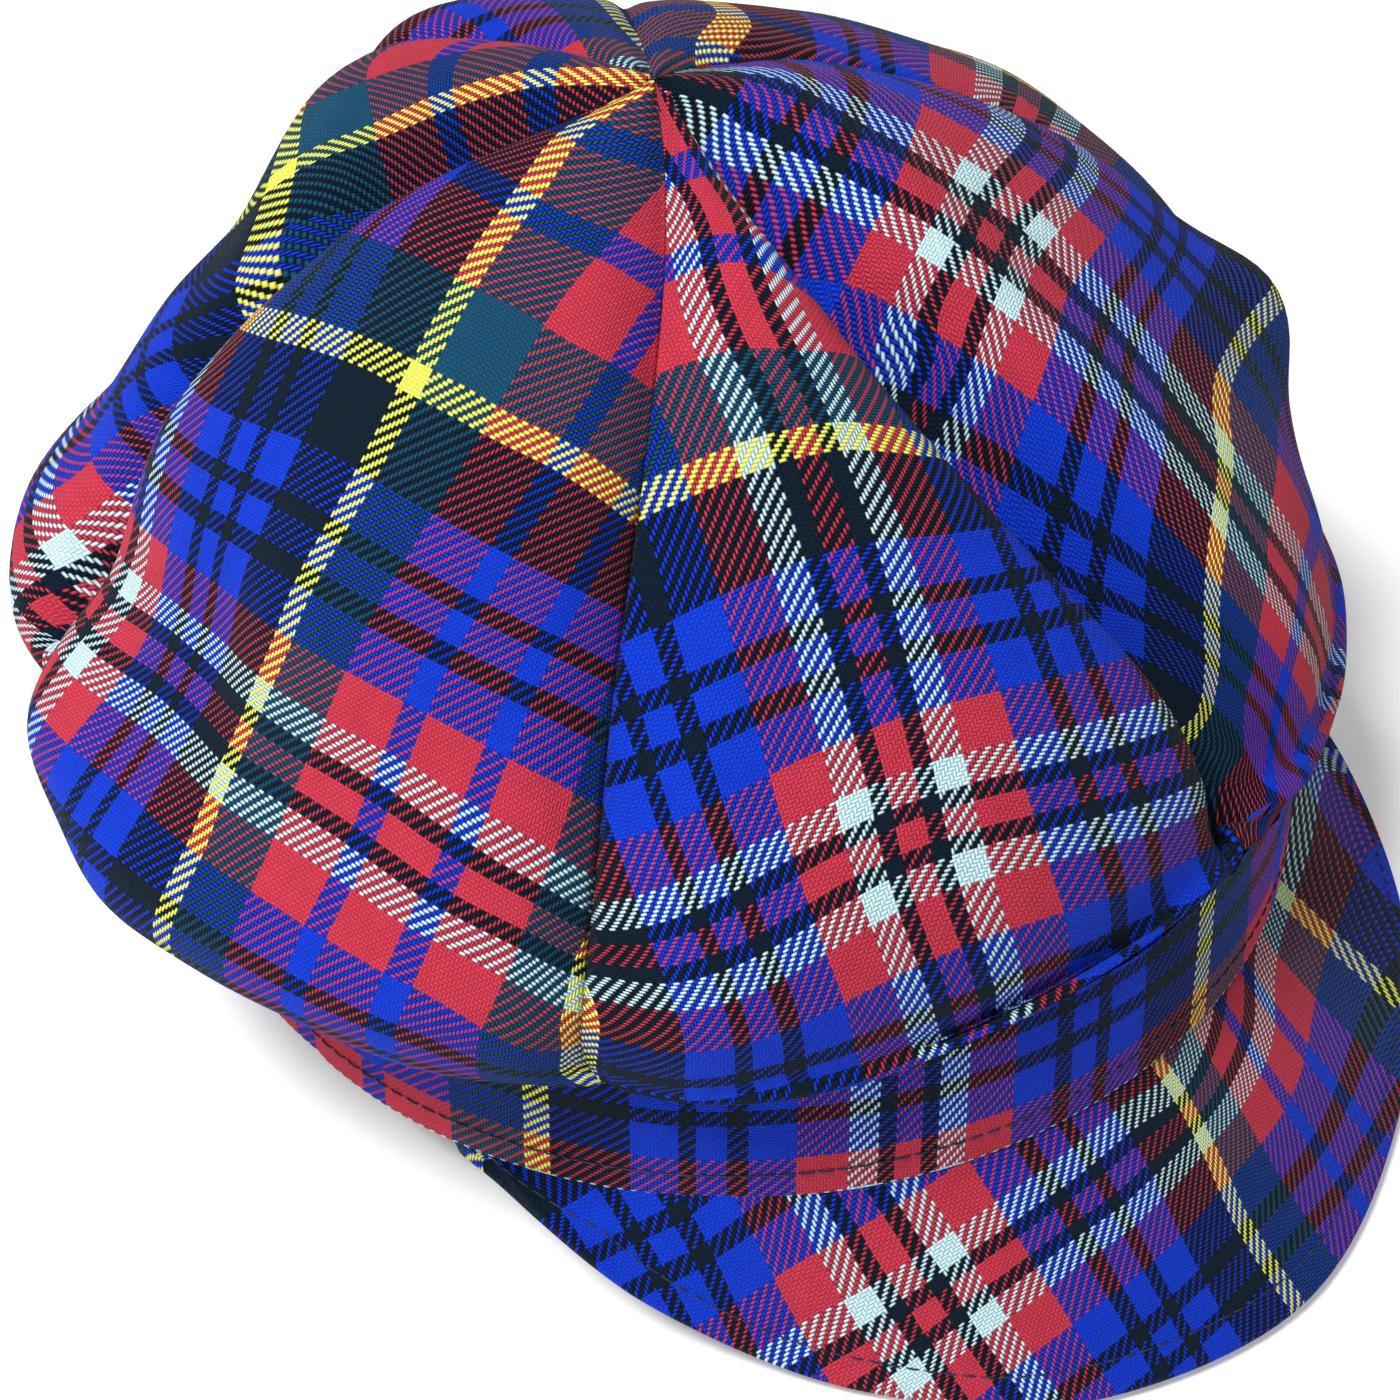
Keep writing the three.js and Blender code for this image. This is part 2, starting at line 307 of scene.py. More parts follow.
LEFT_MARKS = [
    (415, 380, 109, -109), (258, 695, 109, -13), (220, 780, 109, 13), (350, 410, 93, -93),
    (490, 340, 125, -125), (600, 310, 149, -149), (520, 205, 109, -165), (548, 163, 109, -181),
    (575, 127, 109, -197), (130, 588, 13, -13), (78, 657, 13, 13), (633, 82, 109, -213),
    (484, 253, 109, None), (357, 491, 109, None), (304, 584, 109, None), (282, 643, 109, None),
    (199, 841, 109, None), (163, 921, 109, None), (242, 305, None, -109), (298, 331, None, -109),
    (484, 417, None, -109), (551, 450, None, -109), (640, 514, None, -109), (173, 617, None, -13),
    (202, 643, None, -13), (322, 737, None, -13), (388, 772, 165, -13), (469, 825, 197, -13),
    (547, 871, 225, -13), (596, 899, 243, -13), (152, 711, None, 13), (181, 737, None, 13),
    (282, 820, None, 13), (348, 864, 165, 13), (426, 918, 197, 13), (514, 962, 225, 13),
    (580, 993, 253, 13), (583, 940, 249, None), (572, 965, 249, None), (562, 1012, 249, None),
    (562, 1045, 249, None), (563, 1076, 249, None), (540, 1052, None, 33), (430, 1045, None, 50),
    (148, 502, 13, None), (145, 541, 13, None),
]
FRONT_RIGHT_MARKS = [
    (972, 178, -13, -13), (1041, 230, 13, -13), (937, 248, -13, 13), (1010, 297, 13, 13),
    (1227, 454, 109, -13), (1220, 513, 109, 13), (758, 70, None, -13), (816, 88, -64, -13),
    (855, 108, -50, -13), (903, 133, None, -13), (708, 78, None, 0), (733, 100, -81, None),
    (786, 133, -64, 6), (852, 128, -50, -6), (885, 262, -25, 25), (1088, 283, None, -13),
    (1155, 357, None, -13), (1263, 505, None, -13), (1296, 551, None, -13), (683, 110, None, 13),
    (703, 120, None, 13), (726, 136, None, 13), (745, 149, None, 13), (773, 160, -64, 13),
    (827, 183, -50, 13), (862, 206, None, 13), (1066, 344, None, 13), (1142, 420, None, 13),
    (1246, 555, None, 13), (1271, 592, None, 13), (1300, 638, None, 13), (1012, 121, -13, None),
    (894, 322, -13, None), (901, 373, -13, None), (1088, 162, 13, None), (984, 363, 13, None),
    (964, 411, 13, None), (1275, 302, 109, None), (1263, 314, 109, None), (1234, 356, 109, None),
    (1223, 380, 109, None), (1221, 414, 109, None), (1225, 484, 109, None), (1217, 547, 109, None),
    (1213, 584, 109, None), (1211, 621, 109, None), (1213, 659, 109, None), (1211, 702, 109, 81),
    (1304, 575, 165, None), (1296, 630, 165, None), (1283, 683, 165, None), (1275, 713, 165, None),
    (1270, 740, 165, None), (1270, 770, 165, None), (1268, 794, 165, None), (1265, 818, 165, None),
    (1261, 843, 165, None), (1341, 651, 197, None), (1322, 703, 197, None), (1312, 732, 197, None),
    (1297, 757, 197, None), (1243, 700, 137, None), (1248, 755, 137, None), (1222, 787, 137, None),
    (1212, 795, None, 101), (1240, 845, None, 101), (1245, 805, None, 93), (1257, 838, None, 94),
    (917, 321, -9, None), (886, 321, -17, None), (862, 318, -25, None), (745, 133, None, 9),
    (745, 165, None, 17),
]
BACK_LEFT_MARKS = [
    (606, 73, -109, -213), (540, 76, -109, -197), (436, 100, -109, -165), (350, 142, -109, -127),
    (285, 182, -109, -109), (272, 210, None, -109), (262, 232, None, -109), (253, 255, None, -109),
    (249, 275, None, -109), (244, 296, None, -109), (290, 210, -81, None), (398, 55, -149, -149),
    (350, 115, -125, -125), (72, 550, -13, -13), (11, 603, -13, 13), (75, 500, -25, -25),
    (36, 509, -30, -13), (125, 505, -13, -30),
]
BACK_RIGHT_MARKS = [
    (700, 45, 109, None), (750, 27, 109, None), (906, 56, 40, None), (955, 75, 25, -149),
    (990, 88, 13, None), (1062, 130, -13, None), (1095, 150, -25, None), (1135, 175, -40, None),
]
BACK_MARKS = [(617, 22, 109, None), (540, 25, 149, None), (505, 25, 165, None)]
CROWN_MARKS = {
    "front": FRONT_MARKS,
    "left": LEFT_MARKS,
    "front_right": FRONT_RIGHT_MARKS,
    "back_left": BACK_LEFT_MARKS,
    "back_right": BACK_RIGHT_MARKS,
    "back": BACK_MARKS,
}
PEAK_MARKS = [
    (948, 1254, 13, -13), (867, 1308, -13, -13), (986, 1318, 13, 13), (913, 1375, -13, 13),
    (1177, 1089, 109, -13), (1203, 1136, 109, 13), (1280, 893, 253, 13), (1217, 1166, 109, None),
    (1239, 1216, 109, None), (1289, 1293, 109, None), (1252, 871, 253, None),
    (1304, 914, 253, None), (1335, 944, 253, None), (1376, 979, 253, None),
    (1161, 1184, None, 13), (1123, 1219, None, 13), (1079, 1248, None, 13), (1040, 1279, None, 13),
    (1238, 1091, None, 13), (1265, 1020, None, 13), (1262, 975, None, 13), (1268, 935, None, 13),
    (1293, 855, None, 13), (1318, 755, None, 13), (1130, 1117, None, -13), (1091, 1152, None, -13),
    (1053, 1181, None, -13), (1008, 1212, None, -13), (703, 1255, -50, -50), (681, 1215, -50, -64),
    (637, 1235, -64, -64), (660, 1276, -64, -50), (552, 1200, -81, None), (800, 1190, -13, None),
    (819, 1221, -13, None), (790, 1350, None, -13),
]

# The band's marks have only a thread across. The hem lies at one thread all the way round.
BAND_MARKS = [(902, 1140, 0), (855, 1145, -13), (945, 1125, 13), (549, 1130, -109), (1205, 998, 109)]
BAND_HEM_THREAD = 18

# Away from its marks the cloth lies straight, held at places this far apart and from the marks
ANCHOR_SPACING = 28
ANCHOR_REACH = 42

# How loosely the cloth follows its marks, closely on the panels named and less so on the others
LOOSENESS = 0.003
RIM_LOOSENESS = 0.04
CLOSE_PANELS = ("front", "left", "front_right")

# Bent plates: the length that places are measured in, the number of terms of a plate that isn't
# bent, which are a level and two slopes, and the least distance
MARK_SCALE = 60
LEVEL_TERMS = 3
TINY = 1e-9

# The twill's lines fall to the right on this panel and rise on the others
FALLING_PANEL = "front_right"


def unit(vectors):
    return vectors / np.linalg.norm(vectors, axis=-1, keepdims=True)


def lengths_along(points):
    """How far along a line each of its points is."""
    steps = np.linalg.norm(np.diff(points, axis=0), axis=1)
    return np.concatenate([[0], np.cumsum(steps)])


def outline_radius(outline, direction):
    left, right, front, back, square = outline
    sideways = np.sin(direction)
    forwards = np.cos(direction)
    across = np.where(sideways > 0, right, left)
    along = np.where(forwards > 0, front, back)
    if left == 0:
        return np.zeros_like(direction)
    return (np.abs(sideways / across) ** square + np.abs(forwards / along) ** square) ** (-1 / square)


def outline_point(outline, direction, grow, z, x=0, y=0):
    radius = outline_radius(outline, direction) + grow
    return np.stack([x + radius * np.sin(direction), y - radius * np.cos(direction), z + 0 * radius], -1)


def root_gap(first, second):
    return np.sqrt(np.linalg.norm(first - second, axis=-1, keepdims=True))


def smooth_line(points, at):
    """The place at a share of the way along centripetal Catmull-Rom lines through points."""
    spans = len(points) - 1
    points = np.concatenate([2 * points[:1] - points[1:2], points, 2 * points[-1:] - points[-2:-1]])
    span = np.clip((at * spans).astype(int), 0, spans - 1)
    t = (at * spans - span)[..., None]
    p0, p1, p2, p3 = [np.take_along_axis(points, (span + k)[None, ..., None], 0)[0] for k in range(4)]
    d0 = root_gap(p1, p0)
    d1 = root_gap(p2, p1)
    d2 = root_gap(p3, p2)
    start = ((p1 - p0) / d0 - (p2 - p0) / (d0 + d1) + (p2 - p1) / d1) * d1
    end = ((p2 - p1) / d1 - (p3 - p1) / (d1 + d2) + (p3 - p2) / d2) * d1
    bend = -3 * p1 + 3 * p2 - 2 * start - end
    turn = 2 * p1 - 2 * p2 + start + end
    return p1 + start * t + bend * t ** 2 + turn * t ** 3


def crown_surface(direction, at):
    rows = []
    for z, left, right, front, back, x, y, square in SECTIONS:
        rows.append(outline_point((left, right, front, back, square), direction, 0, z, x, y))
    return smooth_line(np.array(rows), at)


def crown_normal(direction, at):
    around = crown_surface(direction + STEP, at) - crown_surface(direction - STEP, at)
    lower = crown_surface(direction, np.minimum(at + STEP, 1))
    upper = crown_surface(direction, np.maximum(at - STEP, 0))
    return unit(np.cross(lower - upper, around))


def seam_direction(seam, share):
    """A seam's direction in radians, on a curve through its top, middle and bottom."""
    top, middle, bottom = SEAMS[seam][:3]
    first = top * (1 - share) * (1 - 2 * share)
    last = bottom * share * (2 * share - 1)
    return np.radians(first + middle * 4 * share * (1 - share) + last)


def fold_height(direction, at):
    height = np.zeros_like(direction)
    for place, share, wide, tall, depth in FOLDS:
        turn = np.degrees(direction) - place
        sideways = (turn - 360 * np.round(turn / 360)) / wide
        upwards = 100 * (at - share) / tall
        height += depth * np.exp(-sideways ** 2 - upwards ** 2)
    return height


def ripple(points, seed):
    """Soft unevenness at points."""
    rng = np.random.default_rng(seed)
    height = np.zeros(points.shape[:-1])
    for _ in range(RIPPLE_COUNT):
        heading = unit(rng.normal(size=3))
        length = rng.uniform(*RIPPLE_LENGTHS)
        height += np.sin(points @ heading * 2 * np.pi / length + rng.uniform(0, 2 * np.pi))
    return height * RIPPLE_HEIGHT / np.sqrt(RIPPLE_COUNT)


def tip(points):
    """From the cap's own axis to the table: the front is tipped up about the back of the rim."""
    back = OPENING[3]
    y = points[..., 1] - back
    z = points[..., 2]
    tipped_y = y * np.cos(REST_TILT) + z * np.sin(REST_TILT) + back
    tipped_z = z * np.cos(REST_TILT) - y * np.sin(REST_TILT)
    return np.stack([points[..., 0], tipped_y, tipped_z], -1)


def find_shift():
    """From the tipped cap's place to the CAD model's, by the box of the CAD band."""
    direction = np.linspace(-np.pi, np.pi, RING_POINTS)
    rings = np.concatenate([tip(outline_point(OPENING, direction, 0, z)) for z in (0, BAND_HEIGHT)])
    lowest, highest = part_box("band")
    cad_middle = np.array(lowest + highest) / 2 / MM
    return cad_middle - (rings.min(0) + rings.max(0)) / 2


SHIFT = find_shift()


def placed(points):
    """Tipped points in the CAD model's frame, in metres."""
    return (points + SHIFT) * MM


def groove_height(from_seam, to_seam, place, length):
    """The grooves along a panel's two seams and the roll beside the first."""
    wide = np.minimum(GROOVE_WIDTH, MOST_GROOVE * length)
    height = -SEAMS[from_seam][3] * np.exp(-(place / wide) ** 2)
    height -= SEAMS[to_seam][3] * np.exp(-((length - place) / (wide * FAR_GROOVE)) ** 2)
    return height + SEAMS[from_seam][4] * np.exp(-(place / wide - ROLL_PLACE) ** 2)


def crease_depth(seam, distance, swell):
    """The depth of a seam's crease at a distance from its stitching."""
    deep = 1 + (SEAMS[seam][5] - 1) * swell
    return deep * np.exp(-(distance / (CREASE_WIDTH + CREASE_SPREAD * deep)) ** 2)


def panel_grid(panel):
    """The outer points of one panel's cloth in metres, and their places on the cloth laid flat."""
    _, from_seam, to_seam, puff = panel
    columns = np.linspace(0, 1, PANEL_COLUMNS + 1)
    across, at = np.meshgrid(columns, np.linspace(APEX_START, 1, PANEL_ROWS + 1))
    share = at ** SEAM_BEND
    start = seam_direction(from_seam, share)
    end = seam_direction(to_seam, share)
    end = np.where(end < start, end + 2 * np.pi, end)
    direction = start + (end - start) * across
    surface = crown_surface(direction, at)
    normal = crown_normal(direction, at)
    around = crown_surface(direction + STEP, at) - crown_surface(direction - STEP, at)
    length = np.linalg.norm(around, axis=-1) / (2 * STEP) * (end - start)
    place = across * length

    swell = np.sin(np.pi * np.minimum(share / PUFF_END, 1)) ** PUFF_BREADTH
    fade = np.clip((LIP_END - at) / LIP_FADE, 0, 1)
    height = puff * (1 - (2 * across - 1) ** 2) + groove_height(from_seam, to_seam, place, length)
    height = height * swell + fold_height(direction, at) * fade
    inside = np.minimum(1, place * (length - place) / RIPPLE_EDGE)
    height += ripple(surface, CROWN_SEED) * fade * inside
    flat = flat_places(surface + normal * height[..., None])

    room = np.minimum(1, at * CREASE_ONSET) * np.minimum(1, length / CREASE_ROOM)
    for seam, distance in ((from_seam, place), (to_seam, length - place)):
        height -= crease_depth(seam, distance, swell) * room
    return placed(tip(surface + normal * height[..., None])), flat


def flat_places(outer):
    """Places on the cloth laid flat: along each row from the middle column, and down that column."""
    middle = outer.shape[1] // 2
    steps = np.linalg.norm(np.diff(outer, axis=1), axis=-1)
    across = np.concatenate([np.zeros((len(outer), 1)), np.cumsum(steps, axis=1)], axis=1)
    across = across - across[:, middle:middle + 1]
    down = lengths_along(outer[:, middle])
    return np.stack([across, np.repeat(down[:, None], outer.shape[1], 1)], -1)


def pixel_ray(x, y):
    """The line of sight through a pixel of the photograph."""
    right = np.array(CAMERA_RIGHT)
    up = np.array(CAMERA_UP)
    back = np.cross(right, up)
    scale = SENSOR / LENS / PHOTO
    return unit(right * (x - PHOTO / 2) * scale - up * (y - PHOTO / 2) * scale - back)


def nearest_to_ray(towards, ray):
    """Which of some points, seen from the eye, lies nearest to a line of sight."""
    beside = towards - (towards @ ray)[:, None] * ray
    return np.argmin(np.linalg.norm(beside, axis=1))


def place_in_cell(grid, flat, row, column, hit):
    """The place on the flat cloth of a point in one of the grid's cells."""
    corner = grid[row, column]
    edges = np.stack([grid[row, column + 1] - corner, grid[row + 1, column] - corner], 1)
    shares = np.linalg.lstsq(edges, hit - corner, rcond=None)[0]
    step_across = flat[row, column + 1] - flat[row, column]
    step_down = flat[row + 1, column] - flat[row, column]
    return flat[row, column] + shares[0] * step_across + shares[1] * step_down


def mark_places(grid, flat, marks):
    """Where on the flat cloth each mark's line of sight meets it, or else comes nearest to it."""
    rows, columns = grid.shape[:2]
    points = grid.reshape(-1, 3)
    tree = BVHTree.FromPolygons(points.tolist(), grid_faces(rows, columns))
    eye = placed(np.array(EYE))
    places = []
    for mark in marks:
        ray = pixel_ray(mark[0], mark[1])
        hit, _, index, _ = tree.ray_cast(Vector(eye), Vector(ray))
        if hit is None:
            places.append(flat.reshape(-1, 2)[nearest_to_ray(points - eye, ray)])
            continue
        row, column = divmod(index, columns - 1)
        places.append(place_in_cell(grid, flat, row, column, np.array(hit)))
    return np.array(places)


def plate_basis(distance):
    return distance ** 2 * np.log(np.maximum(distance, TINY))


def level_part(places):
    return np.column_stack([np.ones(len(places)), places])


def bend_plate(places, values, targets, looseness):
    """A thin plate bent through values at places, read at targets."""
    places = places / MARK_SCALE
    targets = targets / MARK_SCALE
    count = len(places)
    apart = np.linalg.norm(places[:, None] - places[None], axis=-1)
    system = np.zeros((count + LEVEL_TERMS, count + LEVEL_TERMS))
    system[:count, :count] = plate_basis(apart) + looseness * np.eye(count)
    system[:count, count:] = level_part(places)
    system[count:, :count] = level_part(places).T
    weights = np.linalg.solve(system, np.concatenate([values, np.zeros(LEVEL_TERMS)]))
    reach = np.linalg.norm(targets[:, None] - places[None], axis=-1)
    return plate_basis(reach) @ weights[:count] + level_part(targets) @ weights[count:]


def straight_threads(flat, turn):
    """Threads of cloth laid straight, turned in its plane by an angle."""
    across = flat[..., 0] * np.cos(turn) + flat[..., 1] * np.sin(turn)
    down = flat[..., 1] * np.cos(turn) - flat[..., 0] * np.sin(turn)
    return np.stack([across, down], -1) / THREAD


def straight_fit(places, known, values):
    """The turn, tried degree by degree, and the first threads of straight cloth nearest to the marks."""
    best = None
    for turn in np.radians(np.arange(360)):
        threads = straight_threads(places, turn)
        misses = [values[k] - threads[known[k], k] for k in (0, 1)]
        firsts = [np.mean(miss) if len(miss) else 0 for miss in misses]
        total = sum(((miss - first) ** 2).sum() for miss, first in zip(misses, firsts))
        if best is None or total < best[0]:
            best = (total, turn, np.array(firsts))
    return best[1:]


def threads_from_marks(grid, flat, marks, looseness=LOOSENESS):
    """The thread across and the thread down at every point of a grid."""
    places = mark_places(grid, flat, marks)
    targets = flat.reshape(-1, 2)
    known = [np.array([mark[k] is not None for mark in marks]) for k in (2, 3)]
    values = [np.array([mark[k] for mark in marks if mark[k] is not None], float) for k in (2, 3)]
    turn, firsts = straight_fit(places, known, values)
    lowest = targets.min(0)
    highest = targets.max(0)
    steps = [np.arange(lowest[k], highest[k], ANCHOR_SPACING) for k in (0, 1)]
    anchors = np.stack(np.meshgrid(*steps), -1).reshape(-1, 2)
    nearest = np.linalg.norm(anchors[:, None] - places[None], axis=-1).min(1)
    anchors = anchors[nearest > ANCHOR_REACH]
    anchor_threads = straight_threads(anchors, turn) + firsts
    threads = []
    for k in (0, 1):
        held = np.concatenate([places[known[k]], anchors])
        held_values = np.concatenate([values[k], anchor_threads[:, k]])
        threads.append(bend_plate(held, held_values, targets, looseness).reshape(flat.shape[:2]))
    return np.stack(threads, -1)


def grid_faces(rows, columns):
    return [
        (r * columns + c, (r + 1) * columns + c, (r + 1) * columns + c + 1, r * columns + c + 1)
        for r in range(rows - 1)
        for c in range(columns - 1)
    ]


def new_piece(name, points, faces, material, node=None):
    """A smooth mesh that belongs to the cap, and stands for a CAD node where one is named."""
    mesh = bpy.data.meshes.new(name)
    mesh.from_pydata(points.tolist(), [], faces)
    mesh.polygons.foreach_set("use_smooth", [True] * len(faces))
    mesh.materials.append(material)
    piece = bpy.data.objects.new(name, mesh)
    bpy.context.collection.objects.link(piece)
    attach(piece, "root")
    if node:
        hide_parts(node)
    return piece


def cloth_object(name, grid, threads, material, node):
    """A smooth sheet through a grid of points, with the cloth's threads as its UV map."""
    faces = grid_faces(*grid.shape[:2])
    piece = new_piece(name, grid.reshape(-1, 3), faces, material, node)
    layer = piece.data.uv_layers.new(name="threads")
    corners = np.array(faces).ravel()
    layer.data.foreach_set("uv", threads.reshape(-1, 2)[corners].astype(np.float32).ravel())
    return piece


def thicken(piece):
    solid = piece.modifiers.new("cloth", "SOLIDIFY")
    solid.thickness = CLOTH * MM
    solid.offset = -1
    solid.use_even_offset = False


class Nodes:
    """Builds a material's nodes."""

    def __init__(self, name):
        self.material = bpy.data.materials.new(name)
        self.material.use_nodes = True
        self.tree = self.material.node_tree
        self.shader = self.tree.nodes["Principled BSDF"]

    def add(self, kind, **settings):
        node = self.tree.nodes.new(kind)
        for key, value in settings.items():
            setattr(node, key, value)
        return node

    def link(self, source, target):
        if isinstance(source, bpy.types.NodeSocket):
            self.tree.links.new(source, target)
        else:
            target.default_value = source

    def math(self, operation, *values):
        node = self.add("ShaderNodeMath", operation=operation)
        for value, socket in zip(values, node.inputs):
            self.link(value, socket)
        return node.outputs[0]

    def vector_math(self, operation, first, second):
        node = self.add("ShaderNodeVectorMath", operation=operation)
        self.link(first, node.inputs[0])
        self.link(second, node.inputs[1])
        return node.outputs["Value"]

    def mix(self, share, first, second, blend="MIX"):
        """Two colours mixed. Among the node's sockets of every type, 6, 7 and 2 are the colours."""
        node = self.add("ShaderNodeMix", data_type="RGBA", blend_type=blend)
        self.link(share, node.inputs[0])
        self.link(first, node.inputs[6])
        self.link(second, node.inputs[7])
        return node.outputs[2]

    def choose(self, share, first, second):
        return self.math("MULTIPLY_ADD", share, self.math("SUBTRACT", second, first), first)

    def arch(self, share):
        return self.math("SINE", self.math("MULTIPLY", share, float(np.pi)))

    def grey(self, value):
        node = self.add("ShaderNodeCombineColor")
        for socket in node.inputs[:3]:
            self.link(value, socket)
        return node.outputs[0]

    def place(self):
        return self.add("ShaderNodeTexCoord").outputs["Object"]

    def noise(self, vector, scale, detail=2.0):
        node = self.add("ShaderNodeTexNoise")
        self.link(vector, node.inputs["Vector"])
        node.inputs["Scale"].default_value = scale
        node.inputs["Detail"].default_value = detail
        return node.outputs["Fac"]

    def relief(self, height, strength, distance):
        bump = self.add("ShaderNodeBump")
        bump.inputs["Strength"].default_value = strength
        bump.inputs["Distance"].default_value = distance * MM
        self.link(height, bump.inputs["Height"])
        self.link(bump.outputs[0], self.shader.inputs["Normal"])

    def finish(self, settings):
        for name, value in settings.items():
            self.shader.inputs[name].default_value = value


def dye(rgb):
    """An sRGB colour of 0 to 255 as Blender's linear colour."""
    values = [channel / 255 for channel in rgb]
    return tuple(v / 12.92 if v <= 0.04045 else ((v + 0.055) / 1.055) ** 2.4 for v in values) + (1,)


def sett_colour(nodes, thread):
    """The yarn colour of a thread, counted from the sett's first pivot and mirrored at both pivots."""
    total = sum(count for _, count in SETT)
    ramp = nodes.add("ShaderNodeValToRGB")
    ramp.color_ramp.interpolation = "CONSTANT"
    elements = ramp.color_ramp.elements
    elements.remove(elements[1])
    first = 0
    for index, (colour, count) in enumerate(SETT):
        element = elements[0] if index == 0 else elements.new(first / total)
        element.position = first / total
        element.color = dye(DYES[colour])
        first += count
    mirrored = nodes.math("PINGPONG", thread, float(total))
    nodes.link(nodes.math("DIVIDE", mirrored, float(total)), ramp.inputs["Fac"])
    return ramp.outputs["Color"]


def thread_numbers(nodes, place):
    """The threads across and down that a point of the cloth lies on, wandering as yarns do."""
    parts = nodes.add("ShaderNodeSeparateXYZ")
    nodes.link(nodes.add("ShaderNodeUVMap", uv_map="threads").outputs["UV"], parts.inputs[0])
    centred = nodes.math("SUBTRACT", nodes.noise(place, WANDER_SCALE), 0.5)
    wander = nodes.math("MULTIPLY", centred, WANDER)
    across = nodes.math("ADD", parts.outputs["X"], wander)
    down = nodes.math("SUBTRACT", parts.outputs["Y"], wander)
    return across, down


def weft_on_top(nodes, warp_thread, weft_thread, slant):
    """1 where a two-and-two twill's weft covers its warp, else 0."""
    twill = nodes.math("ADD", warp_thread, nodes.math("MULTIPLY", weft_thread, float(slant)))
    step = nodes.math("FRACT", nodes.math("DIVIDE", nodes.math("ADD", twill, 0.5), TWILL_REPEAT))
    return nodes.math("GREATER_THAN", step, 0.5)


def bead_height(nodes, across, down, weft_up, slant):
    """Each float of yarn is a bead, round across the yarn and rounded off at both ends."""
    warp_thread = nodes.math("FLOOR", across)
    weft_thread = nodes.math("FLOOR", down)
    turn = 0.0 if slant > 0 else 1.0
    warp_phase = nodes.math("ADD", warp_thread, nodes.math("MULTIPLY_ADD", down, float(slant), turn))
    weft_phase = nodes.math("ADD", across, nodes.math("MULTIPLY", weft_thread, float(slant)))
    warp_part = nodes.math("FRACT", nodes.math("DIVIDE", warp_phase, TWILL_REPEAT))
    weft_part = nodes.math("FRACT", nodes.math("DIVIDE", weft_phase, TWILL_REPEAT))
    warp_along = nodes.math("MULTIPLY", warp_part, 2.0)
    weft_along = nodes.math("MULTIPLY_ADD", weft_part, 2.0, -1.0)
    along = nodes.choose(weft_up, warp_along, weft_along)
    side = nodes.choose(weft_up, nodes.math("FRACT", across), nodes.math("FRACT", down))
    return nodes.math("MULTIPLY", nodes.math("POWER", nodes.arch(along), FLOAT_ENDS), nodes.arch(side))


def cloth_colour(nodes, yarn, other, bead, uneven):
    """The yarn on top, with painted shade darkening it towards its edges, where it dips between the yarns
    beside it.
    The painted shade is deeper where a bright yarn crosses a dark one, so that the bright yarn looks
    thinner, and a little of the dark yarn shows beside it."""
    stands_out = nodes.vector_math("DOT_PRODUCT", yarn, STANDOUT)
    brighter = nodes.math("SUBTRACT", stands_out, nodes.vector_math("DOT_PRODUCT", other, STANDOUT))
    thinner = nodes.math("MAXIMUM", nodes.math("MULTIPLY", brighter, THINNING), 0.0)
    thinner = nodes.math("MINIMUM", thinner, 1.0)
    unlike = nodes.math("MULTIPLY", nodes.vector_math("DISTANCE", yarn, other), UNLIKENESS)
    unlike = nodes.math("MINIMUM", unlike, 1.0)
    # Painted shade at the yarn's edges: more where unlike yarns cross and where a bright yarn lies on a
    # darker one
    unlike_edge_shade = nodes.math("MULTIPLY", unlike, nodes.math("MULTIPLY_ADD", stands_out, *UNLIKE_SHADE))
    thinning_edge_shade = nodes.math("MULTIPLY", thinner, nodes.math("MULTIPLY_ADD", stands_out, *THIN_SHADE))
    edge = nodes.math("ADD", nodes.math("ADD", unlike_edge_shade, thinning_edge_shade), EDGE_SHADE)
    # lit is the share of the yarn's colour left after the painted shade, least at the bead's edges
    lit = nodes.math("SUBTRACT", 1.0, nodes.math("MULTIPLY", edge, nodes.math("SUBTRACT", 1.0, bead)))
    lit = nodes.math("MAXIMUM", lit, LEAST_LIT)
    shown = nodes.math("MULTIPLY", thinner, UNDER_SHOWS)
    under = nodes.math("MULTIPLY", nodes.math("SUBTRACT", 1.0, lit), shown)
    over_yarn = nodes.mix(1.0, yarn, nodes.grey(nodes.math("MULTIPLY", lit, uneven)), "MULTIPLY")
    under_yarn = nodes.mix(1.0, other, nodes.grey(under), "MULTIPLY")
    return nodes.mix(1.0, over_yarn, under_yarn, "ADD")


def tartan(name, slant):
    """Woven wool. The twill's lines rise to the right where slant is 1 and fall where it is -1."""
    nodes = Nodes(name)
    place = nodes.place()
    across, down = thread_numbers(nodes, place)
    warp_thread = nodes.math("FLOOR", across)
    weft_thread = nodes.math("FLOOR", down)
    warp = sett_colour(nodes, nodes.math("ADD", warp_thread, 0.5))
    weft = sett_colour(nodes, nodes.math("ADD", weft_thread, 0.5))
    weft_up = weft_on_top(nodes, warp_thread, weft_thread, slant)
    yarn = nodes.mix(weft_up, warp, weft)
    other = nodes.mix(weft_up, weft, warp)
    bead = bead_height(nodes, across, down, weft_up, slant)
    fuzz = nodes.noise(place, FUZZ_SCALE, YARN_DETAIL)
    mottle = nodes.noise(place, MOTTLE_SCALE, YARN_DETAIL)
    mottled = nodes.math("MULTIPLY_ADD", mottle, *MOTTLE_SHADE)
    uneven = nodes.math("MULTIPLY", mottled, nodes.math("MULTIPLY_ADD", fuzz, *FUZZ_SHADE))
    nodes.link(cloth_colour(nodes, yarn, other, bead, uneven), nodes.shader.inputs["Base Color"])
    weave = nodes.math("ADD", bead, nodes.math("MULTIPLY", fuzz, FUZZ_RELIEF))
    nodes.relief(weave, WEAVE_RELIEF, WEAVE_HEIGHT)
    nodes.finish(WOOL)
    return nodes.material


